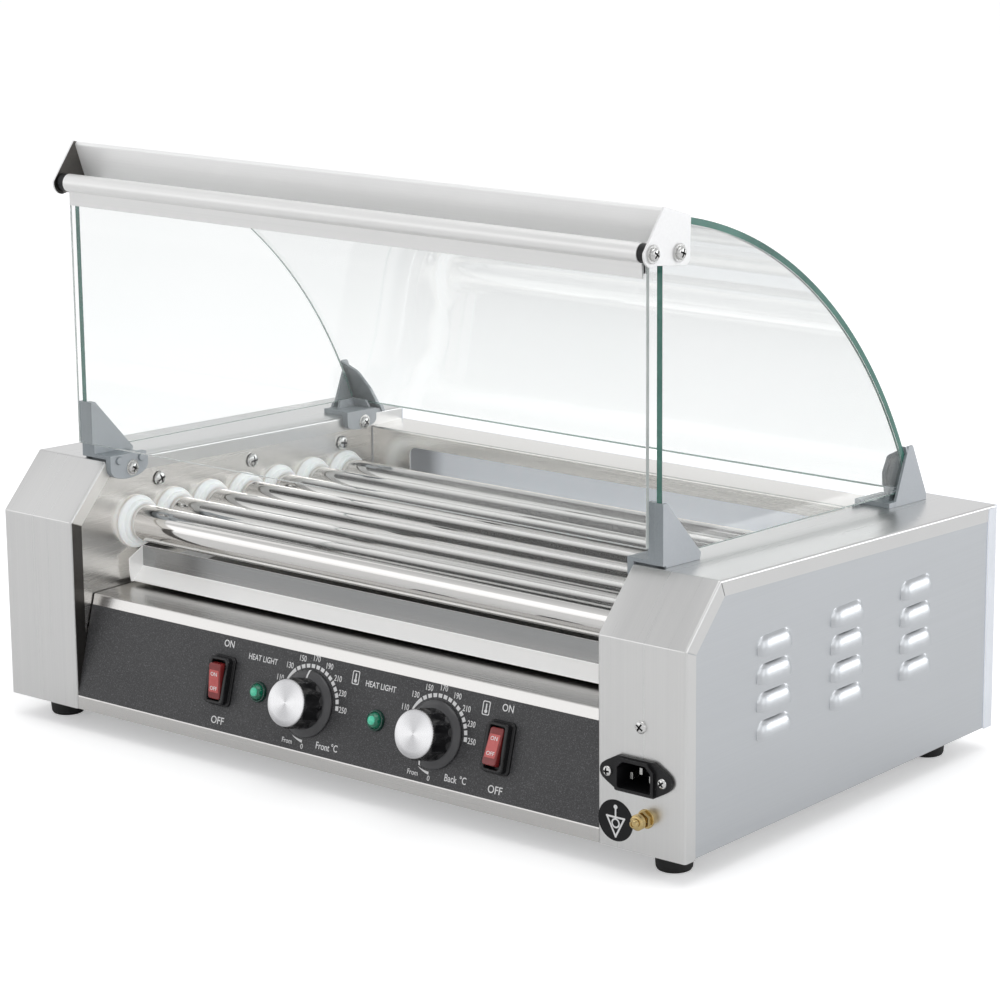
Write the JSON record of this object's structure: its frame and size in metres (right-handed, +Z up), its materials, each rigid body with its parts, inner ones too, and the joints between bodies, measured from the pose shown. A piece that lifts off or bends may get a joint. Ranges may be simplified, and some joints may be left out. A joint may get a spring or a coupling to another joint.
{
  "type": "hot dog roller grill",
  "caption": "Counter-top roller grill with driven, heated rollers between two sheet steel housings, a drip tray, dials and switches, under a glass hood with a hinged front.",
  "frame": {"origin": "under the middle of the grill, on the plane that the feet stand on", "axes": "+X along the rollers to the operator's right, +Y from the front to the rear, +Z up"},
  "size_m": [0.576, 0.3552, 0.3936],
  "materials": {
    "stainless_steel": "brushed, fine horizontal grain",
    "base_steel": "mill finish",
    "tray_steel": "satin",
    "rail_steel": "brushed along the rail",
    "hinge_aluminium": "satin anodised",
    "black_rubber": "matt",
    "black_film": "finely speckled film",
    "white_ptfe": "waxy white",
    "heater_sheath": "heat tinted",
    "motor_paint": "satin grey",
    "drive_steel": "oiled",
    "thermostat_metal": "plain",
    "black_gloss": "glossy",
    "spun_aluminium": "spun, concentric grain",
    "red_rocker": "translucent red",
    "green_lens": "translucent green",
    "black_plastic": "satin",
    "plated_pins": "bright plated",
    "brass": "bright",
    "white_nylon": "matt",
    "clear_glass": "clear with green edges",
    "grey_plastic": "satin blue grey",
    "screw_steel": "bright",
    "polished_roller": "polished"
  },
  "bodies": {
    "chassis": {"base_plate": "base_steel", "rubber_feet": "black_rubber", "left_housing_cover": "stainless_steel", "right_housing_cover": "stainless_steel", "left_side_panel": "stainless_steel", "right_side_panel": "stainless_steel", "left_inner_wall": "stainless_steel", "right_inner_wall": "stainless_steel", "rear_cover": "stainless_steel", "rear_inner_wall": "stainless_steel", "bay_floor": "stainless_steel", "control_panel": "stainless_steel", "panel_overlay": "black_film", "left_roller_bushings": "white_ptfe", "right_roller_bushings": "white_ptfe", "heater_rods": "heater_sheath", "heater_holders": "base_steel", "gear_motor": "motor_paint", "motor_bracket": "base_steel", "drive_chain": "drive_steel", "thermostats": "thermostat_metal", "switch_housings": "black_gloss", "indicator_lamps": "green_lens", "power_inlet": "black_plastic", "inlet_pins": "plated_pins", "earth_terminal": "brass", "terminal_block": "white_nylon", "left_side_glass": "clear_glass", "right_side_glass": "clear_glass", "curved_cover": "clear_glass", "top_rail": "rail_steel", "rail_end_plates": "rail_steel", "front_glass_brackets": "grey_plastic", "rear_glass_brackets": "grey_plastic", "pan_head_screws": "screw_steel"},
    "roller_1": {"roller_tube_1": "polished_roller", "roller_sprocket_1": "drive_steel"},
    "roller_2": {"roller_tube_2": "polished_roller", "roller_sprocket_2": "drive_steel"},
    "roller_3": {"roller_tube_3": "polished_roller", "roller_sprocket_3": "drive_steel"},
    "roller_4": {"roller_tube_4": "polished_roller", "roller_sprocket_4": "drive_steel"},
    "roller_5": {"roller_tube_5": "polished_roller", "roller_sprocket_5": "drive_steel"},
    "roller_6": {"roller_tube_6": "polished_roller", "roller_sprocket_6": "drive_steel"},
    "roller_7": {"roller_tube_7": "polished_roller", "roller_sprocket_7": "drive_steel"},
    "motor_drive": {"motor_sprocket": "drive_steel"},
    "tray": {"drip_tray": "tray_steel"},
    "front_door": {"hinge_profile": "hinge_aluminium", "hinge_end_caps": "black_plastic", "front_pane": "clear_glass"},
    "front_dial": {"front_knob": "black_gloss", "front_knob_cap": "spun_aluminium"},
    "back_dial": {"back_knob": "black_gloss", "back_knob_cap": "spun_aluminium"},
    "left_switch": {"left_rocker": "red_rocker"},
    "right_switch": {"right_rocker": "red_rocker"}
  },
  "joints": [
    {"name": "roller_1_spin", "type": "hinge", "parent": "chassis", "child": "roller_1", "pos_m": [0, -0.1004, 0.133], "axis": [1, 0, 0], "continuous": true},
    {"name": "roller_2_spin", "type": "hinge", "parent": "chassis", "child": "roller_2", "pos_m": [0, -0.0649, 0.1317], "axis": [1, 0, 0], "continuous": true},
    {"name": "roller_3_spin", "type": "hinge", "parent": "chassis", "child": "roller_3", "pos_m": [0, -0.0294, 0.1304], "axis": [1, 0, 0], "continuous": true},
    {"name": "roller_4_spin", "type": "hinge", "parent": "chassis", "child": "roller_4", "pos_m": [0, 0.0061, 0.1291], "axis": [1, 0, 0], "continuous": true},
    {"name": "roller_5_spin", "type": "hinge", "parent": "chassis", "child": "roller_5", "pos_m": [0, 0.0416, 0.1278], "axis": [1, 0, 0], "continuous": true},
    {"name": "roller_6_spin", "type": "hinge", "parent": "chassis", "child": "roller_6", "pos_m": [0, 0.0771, 0.1265], "axis": [1, 0, 0], "continuous": true},
    {"name": "roller_7_spin", "type": "hinge", "parent": "chassis", "child": "roller_7", "pos_m": [0, 0.1126, 0.1252], "axis": [1, 0, 0], "continuous": true},
    {"name": "motor_spin", "type": "hinge", "parent": "chassis", "child": "motor_drive", "pos_m": [-0.24, 0.0056, 0.073], "axis": [1, 0, 0], "continuous": true},
    {"name": "tray_slide", "type": "slide", "parent": "chassis", "child": "tray", "axis": [0, -1, 0], "range_m": [0, 0.25]},
    {"name": "front_door_hinge", "type": "hinge", "parent": "chassis", "child": "front_door", "pos_m": [0, -0.1379, 0.3675], "axis": [-1, 0, 0], "range_deg": [0, 100]},
    {"name": "front_dial_turn", "type": "hinge", "parent": "chassis", "child": "front_dial", "pos_m": [-0.0195, -0.15315, 0.05401], "axis": [0, 0.9637, -0.2668], "range_deg": [-162, 99]},
    {"name": "back_dial_turn", "type": "hinge", "parent": "chassis", "child": "back_dial", "pos_m": [0.087, -0.15315, 0.05401], "axis": [0, 0.9637, -0.2668], "range_deg": [0, 261]},
    {"name": "left_switch_rock", "type": "hinge", "parent": "chassis", "child": "left_switch", "pos_m": [-0.094, -0.15653, 0.05681], "axis": [-1, 0, 0], "range_deg": [0, 20]},
    {"name": "right_switch_rock", "type": "hinge", "parent": "chassis", "child": "right_switch", "pos_m": [0.139, -0.15653, 0.05681], "axis": [1, 0, 0], "range_deg": [0, 20]}
  ],
  "couplings": [
    {"joint": "roller_2_spin", "follows": "roller_1_spin", "ratio": 1},
    {"joint": "roller_3_spin", "follows": "roller_1_spin", "ratio": 1},
    {"joint": "roller_4_spin", "follows": "roller_1_spin", "ratio": 1},
    {"joint": "roller_5_spin", "follows": "roller_1_spin", "ratio": 1},
    {"joint": "roller_6_spin", "follows": "roller_1_spin", "ratio": 1},
    {"joint": "roller_7_spin", "follows": "roller_1_spin", "ratio": 1},
    {"joint": "motor_spin", "follows": "roller_1_spin", "ratio": 1.25}
  ]
}
